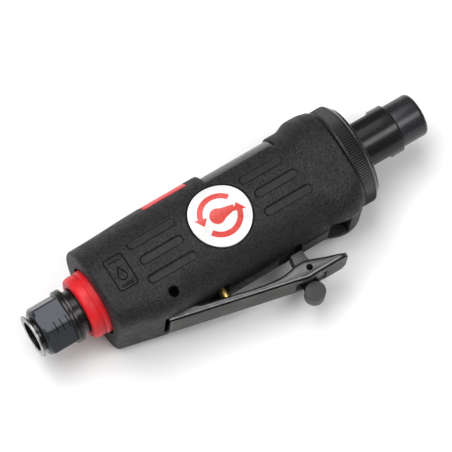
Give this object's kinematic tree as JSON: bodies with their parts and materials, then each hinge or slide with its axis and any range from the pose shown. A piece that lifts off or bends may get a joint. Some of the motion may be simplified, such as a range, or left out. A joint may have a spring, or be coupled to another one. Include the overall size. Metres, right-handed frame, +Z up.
{
  "type": "pneumatic die grinder",
  "caption": "Lever-throttle pneumatic mini die grinder lying on its side: round composite grip, side lever with safety latch, rear air inlet and exhaust ring, front spindle with collet nut.",
  "frame": {"origin": "centre of the bounding box's base: the tool lies on the flat side of its grip", "axes": "+X along the spindle from the air inlet to the collet nut, +Z up through the emblem side, -Y to the throttle lever"},
  "size_m": [0.1736, 0.0672, 0.0429],
  "materials": {
    "grip_composite": "fine pebble grain",
    "red_plastic": "satin, moulded",
    "emblem_white": "smooth",
    "satin_black_steel": "black oxide, satin",
    "gloss_black_steel": "black oxide, polished",
    "black_aluminium": "black anodised",
    "plain_steel": "ground",
    "gunmetal_steel": "worn satin",
    "aluminium": "as machined",
    "brass": "turned",
    "seal_rubber": "matt",
    "felt": "pressed felt",
    "fibre": "bonded fibre"
  },
  "bodies": {
    "housing": {"grip_housing": "grip_composite", "spine_inlay": "red_plastic", "emblem_disc_left": "emblem_white", "emblem_disc_right": "emblem_white", "air_inlet_bushing": "satin_black_steel", "inlet_screen": "plain_steel", "inlet_o_ring": "seal_rubber", "exhaust_baffle": "plain_steel", "exhaust_felt": "felt", "valve_body": "aluminium", "valve_bushing": "brass", "valve_spring": "plain_steel", "valve_cap": "brass", "motor_housing": "black_aluminium", "clamp_nut": "satin_black_steel", "motor_gasket": "fibre", "rear_end_plate": "aluminium", "cylinder_liner": "plain_steel", "front_end_plate": "aluminium", "locating_dowel": "plain_steel", "rear_bearing_outer_race": "plain_steel", "front_bearing_outer_race": "plain_steel", "wave_washer": "plain_steel", "dust_seal": "felt", "lever_pin": "plain_steel"},
    "exhaust_ring": {"exhaust_ring": "red_plastic"},
    "throttle_lever": {"throttle_lever": "gunmetal_steel", "latch_pin": "plain_steel", "latch_spring": "plain_steel"},
    "safety_latch": {"safety_latch": "gunmetal_steel"},
    "valve_stem": {"valve_stem": "brass", "valve_seal": "seal_rubber", "stem_o_ring": "seal_rubber"},
    "rotor": {"rotor": "plain_steel", "rotor_vane_1": "fibre", "rotor_vane_2": "fibre", "rotor_vane_3": "fibre", "rotor_vane_4": "fibre", "rotor_vane_5": "fibre", "rear_bearing_inner_race": "plain_steel", "front_bearing_inner_race": "plain_steel", "spindle_spacer": "plain_steel", "spindle": "gloss_black_steel", "collet": "plain_steel", "collet_nut": "satin_black_steel"},
    "front_ball_cage": {"front_bearing_ball_cage": "plain_steel"},
    "rear_ball_cage": {"rear_bearing_ball_cage": "plain_steel"}
  },
  "joints": [
    {"name": "lever_squeeze", "type": "hinge", "parent": "housing", "child": "throttle_lever", "pos_m": [-0.03565, -0.00552, 0.01948], "axis": [0, -0.1132, 0.9936], "range_deg": [0, 7], "stiffness_Nm_per_rad": 2, "springref_deg": -11.46},
    {"name": "latch_swing", "type": "hinge", "parent": "throttle_lever", "child": "safety_latch", "pos_m": [0.01565, -0.02122, 0.01769], "axis": [0, -0.1132, 0.9936], "range_deg": [0, 41.2]},
    {"name": "valve_stroke", "type": "slide", "parent": "housing", "child": "valve_stem", "axis": [0, 0.9936, 0.1132], "range_m": [0, 0.00262], "deforming": ["valve_spring"]},
    {"name": "spindle_spin", "type": "hinge", "parent": "housing", "child": "rotor", "pos_m": [0, 0.01137, 0.0214], "axis": [1, 0, 0], "continuous": true},
    {"name": "front_cage_spin", "type": "hinge", "parent": "housing", "child": "front_ball_cage", "pos_m": [0, 0.01137, 0.0214], "axis": [1, 0, 0], "continuous": true},
    {"name": "rear_cage_spin", "type": "hinge", "parent": "housing", "child": "rear_ball_cage", "pos_m": [0, 0.01137, 0.0214], "axis": [1, 0, 0], "continuous": true},
    {"name": "exhaust_turn", "type": "hinge", "parent": "housing", "child": "exhaust_ring", "pos_m": [0, 0.01137, 0.0214], "axis": [1, 0, 0], "continuous": true}
  ],
  "couplings": [
    {"joint": "latch_swing", "follows": "lever_squeeze", "ratio": 5.88},
    {"joint": "valve_stroke", "follows": "lever_squeeze", "m_per_rad": 0.0214},
    {"joint": "front_cage_spin", "follows": "spindle_spin", "ratio": 0.401},
    {"joint": "rear_cage_spin", "follows": "spindle_spin", "ratio": 0.371}
  ]
}
